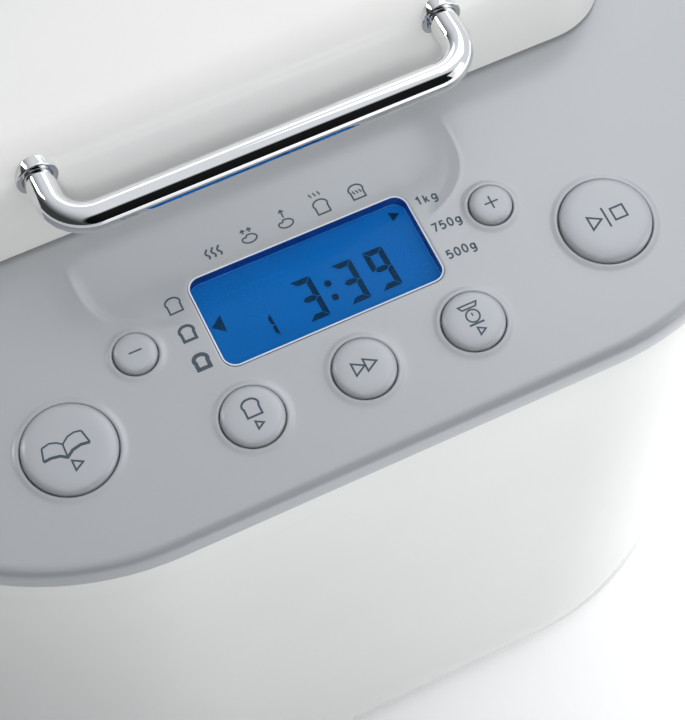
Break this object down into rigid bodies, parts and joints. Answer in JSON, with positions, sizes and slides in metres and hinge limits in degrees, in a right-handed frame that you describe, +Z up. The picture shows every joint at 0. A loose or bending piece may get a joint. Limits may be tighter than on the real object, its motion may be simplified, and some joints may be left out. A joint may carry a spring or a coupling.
{
  "type": "bread machine",
  "caption": "Countertop bread machine with a hinged windowed lid, chrome handle, sloping key panel with display, and a lift-out pan with kneading blade.",
  "frame": {"origin": "centre of the machine's footprint at table level, under the feet", "axes": "+X to the user's right across the control panel, +Y from the control panel to the rear, +Z up"},
  "size_m": [0.345, 0.3, 0.3],
  "materials": {
    "white_casing": "glossy",
    "grey_deck": "glossy",
    "key_grey": "glossy, printed symbols",
    "base_plastic": "moulded matt",
    "black_plastic": "matt",
    "rubber": "matt",
    "chrome_trim": "polished",
    "clear_glass": "clear",
    "display_blue": "clear blue",
    "lcd_blue": "backlit",
    "aluminium_sheet": "satin",
    "cast_alloy": "cast",
    "steel": "zinc plated",
    "element_steel": "heat darkened",
    "non_stick": "fine dark coating",
    "bronze": "sintered",
    "laminations": "stacked sheet",
    "copper_wire": "enamelled",
    "circuit_board": "solder mask",
    "board_parts": "moulded",
    "ribbon": "flat cable"
  },
  "bodies": {
    "base": {"body_shell": "white_casing", "top_deck": "grey_deck", "base_plate": "base_plastic", "rubber_feet": "rubber", "base_screws": "steel", "cord_gland": "black_plastic", "oven_chamber": "aluminium_sheet", "chamber_standoffs": "steel", "heating_element": "element_steel", "element_clips": "steel", "temperature_sensor": "steel", "pan_seat": "cast_alloy", "heat_shield": "aluminium_sheet", "drive_chassis": "steel", "bearing_housing": "cast_alloy", "output_bush": "bronze", "drive_belt": "rubber", "motor_stator": "laminations", "motor_windings": "copper_wire", "motor_end_bells": "cast_alloy", "motor_mounts": "rubber", "motor_capacitor": "board_parts", "power_pcb": "circuit_board", "power_parts": "board_parts", "control_pcb": "circuit_board", "control_ribbon": "ribbon", "tact_switches": "black_plastic", "lcd_backlight": "base_plastic", "lcd_panel": "lcd_blue", "lcd_frame": "black_plastic", "display_lens": "display_blue", "pcb_screws": "steel"},
    "lid": {"lid_cover": "white_casing", "lid_liner": "aluminium_sheet", "lid_screws": "steel", "lid_window": "clear_glass", "window_gaskets": "rubber", "inner_window": "clear_glass", "lid_handle": "chrome_trim", "hinge_pins": "steel"},
    "drive": {"output_shaft": "steel", "large_pulley": "black_plastic", "drive_dog": "cast_alloy"},
    "motor": {"motor_pulley": "cast_alloy", "motor_shaft": "steel", "motor_rotor": "laminations"},
    "pan": {"bread_pan": "non_stick", "pan_base": "cast_alloy", "pan_bush": "bronze"},
    "bail": {"pan_handle": "chrome_trim"},
    "pan_spindle": {"pan_shaft": "steel", "pan_dog": "cast_alloy"},
    "blade": {"kneading_blade": "non_stick"},
    "key_menu": {"button_menu": "key_grey"},
    "key_minus": {"button_minus": "key_grey"},
    "key_crust": {"button_crust": "key_grey"},
    "key_rapid": {"button_rapid": "key_grey"},
    "key_size": {"button_size": "key_grey"},
    "key_plus": {"button_plus": "key_grey"},
    "key_start_stop": {"button_start_stop": "key_grey"}
  },
  "joints": [
    {"name": "lid_hinge", "type": "hinge", "parent": "base", "child": "lid", "pos_m": [0, 0.133, 0.25538], "axis": [-1, 0, 0], "range_deg": [0, 80]},
    {"name": "drive_spin", "type": "hinge", "parent": "base", "child": "drive", "pos_m": [0, 0.054, 0.03], "axis": [0, 0, 1], "continuous": true},
    {"name": "motor_spin", "type": "hinge", "parent": "base", "child": "motor", "pos_m": [-0.05, -0.088, 0.03], "axis": [0, 0, 1], "continuous": true},
    {"name": "pan_lift", "type": "slide", "parent": "base", "child": "pan", "axis": [0, 0, 1], "range_m": [0, 0.04]},
    {"name": "bail_swing", "type": "hinge", "parent": "pan", "child": "bail", "pos_m": [0, 0.054, 0.209], "axis": [-1, 0, 0], "range_deg": [0, 180]},
    {"name": "pan_shaft_spin", "type": "hinge", "parent": "pan", "child": "pan_spindle", "pos_m": [0, 0.054, 0.08], "axis": [0, 0, 1], "continuous": true},
    {"name": "blade_lift", "type": "slide", "parent": "pan_spindle", "child": "blade", "axis": [0, 0, 1], "range_m": [0, 0.03]},
    {"name": "press_menu", "type": "slide", "parent": "base", "child": "key_menu", "axis": [0, 0.1132, -0.9936], "range_m": [0, 0.0008], "stiffness_N_per_m": 1200, "springref_m": -0.0005},
    {"name": "press_minus", "type": "slide", "parent": "base", "child": "key_minus", "axis": [0, 0.1132, -0.9936], "range_m": [0, 0.0008], "stiffness_N_per_m": 1200, "springref_m": -0.0005},
    {"name": "press_crust", "type": "slide", "parent": "base", "child": "key_crust", "axis": [0, 0.1132, -0.9936], "range_m": [0, 0.0008], "stiffness_N_per_m": 1200, "springref_m": -0.0005},
    {"name": "press_rapid", "type": "slide", "parent": "base", "child": "key_rapid", "axis": [0, 0.1132, -0.9936], "range_m": [0, 0.0008], "stiffness_N_per_m": 1200, "springref_m": -0.0005},
    {"name": "press_size", "type": "slide", "parent": "base", "child": "key_size", "axis": [0, 0.1132, -0.9936], "range_m": [0, 0.0008], "stiffness_N_per_m": 1200, "springref_m": -0.0005},
    {"name": "press_plus", "type": "slide", "parent": "base", "child": "key_plus", "axis": [0, 0.1132, -0.9936], "range_m": [0, 0.0008], "stiffness_N_per_m": 1200, "springref_m": -0.0005},
    {"name": "press_start_stop", "type": "slide", "parent": "base", "child": "key_start_stop", "axis": [0, 0.1132, -0.9936], "range_m": [0, 0.0008], "stiffness_N_per_m": 1200, "springref_m": -0.0005}
  ],
  "couplings": [
    {"joint": "motor_spin", "follows": "drive_spin", "ratio": 6},
    {"joint": "pan_shaft_spin", "follows": "drive_spin", "ratio": 1}
  ]
}
